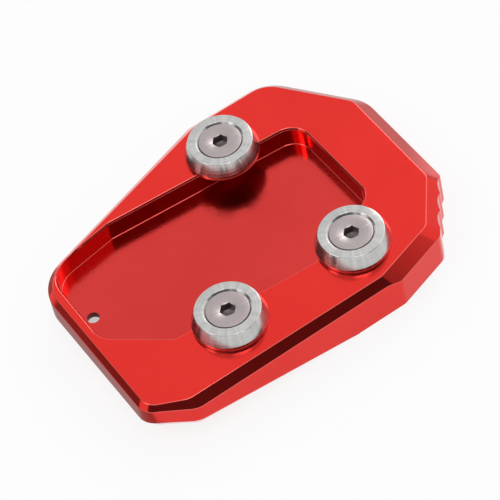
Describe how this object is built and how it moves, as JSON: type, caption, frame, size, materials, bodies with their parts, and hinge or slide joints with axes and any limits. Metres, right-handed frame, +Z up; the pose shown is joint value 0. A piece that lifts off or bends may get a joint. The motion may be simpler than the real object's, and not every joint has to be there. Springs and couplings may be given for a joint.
{
  "type": "motorcycle side stand foot enlarger",
  "caption": "Milled plate with a pocket that takes the foot of a motorcycle side stand and widens it, clamped by cone-edged washers and countersunk screws.",
  "frame": {"origin": "centre of the ground side, at the middle of the whole part's box, on the ground", "axes": "+Z up, away from the ground; +X along the straight back wall of the pocket, towards the fluted side; +Y towards the side of the single back washer"},
  "size_m": [0.1093, 0.088, 0.0185],
  "materials": {
    "plate": "red anodised, satin",
    "washer": "turned, bright",
    "screw": "stainless, satin"
  },
  "bodies": {
    "root": {"base_plate": "plate", "clamp_washer_back": "washer", "clamp_washer_left": "washer", "clamp_washer_right": "washer", "clamp_screw_back": "screw", "clamp_screw_left": "screw", "clamp_screw_right": "screw"}
  },
  "joints": []
}
